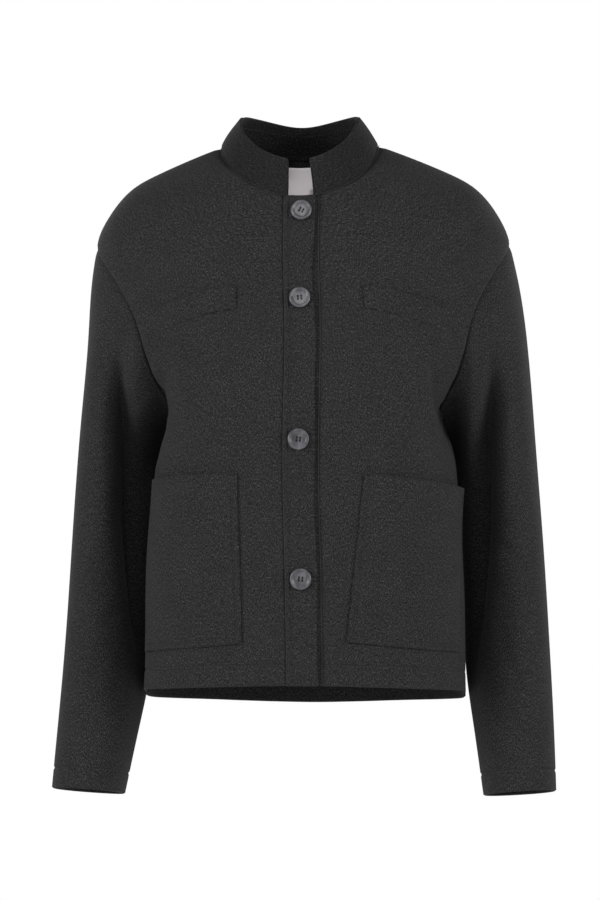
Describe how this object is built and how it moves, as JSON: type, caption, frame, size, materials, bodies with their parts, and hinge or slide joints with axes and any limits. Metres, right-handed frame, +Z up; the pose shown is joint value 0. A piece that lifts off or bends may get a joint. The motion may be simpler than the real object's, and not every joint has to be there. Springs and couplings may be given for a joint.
{
  "type": "jacket",
  "caption": "Boxy wool-look jacket with a stand collar, dropped shoulders, long straight sleeves, buttoned front band, chest welts and patch pockets, filled out but empty",
  "frame": {"origin": "centre of the neck, level with the tops of the shoulder seams, where the wearer's shoulders hold the jacket up", "axes": "+Z up, -Y to the front, +X to the wearer's left"},
  "size_m": [0.529, 0.2458, 0.7153],
  "materials": {
    "wool": "brushed twill, charcoal heather",
    "wool_inside": "brushed twill, charcoal heather",
    "lining": "smooth lining twill, near black",
    "label": "satin ribbon, bare",
    "horn": "satin, grey horn look"
  },
  "bodies": {
    "root": {"front_left": "wool", "front_right": "wool", "back": "wool", "sleeve_left": "wool", "sleeve_right": "wool", "collar": "wool", "band_over": "wool", "band_under": "wool", "pocket_left": "wool", "pocket_right": "wool", "welt_left": "wool", "welt_right": "wool", "facing_back_neck": "wool_inside", "lining_back": "lining", "label": "label", "button_1": "horn", "button_2": "horn", "button_3": "horn", "button_4": "horn"}
  },
  "joints": []
}
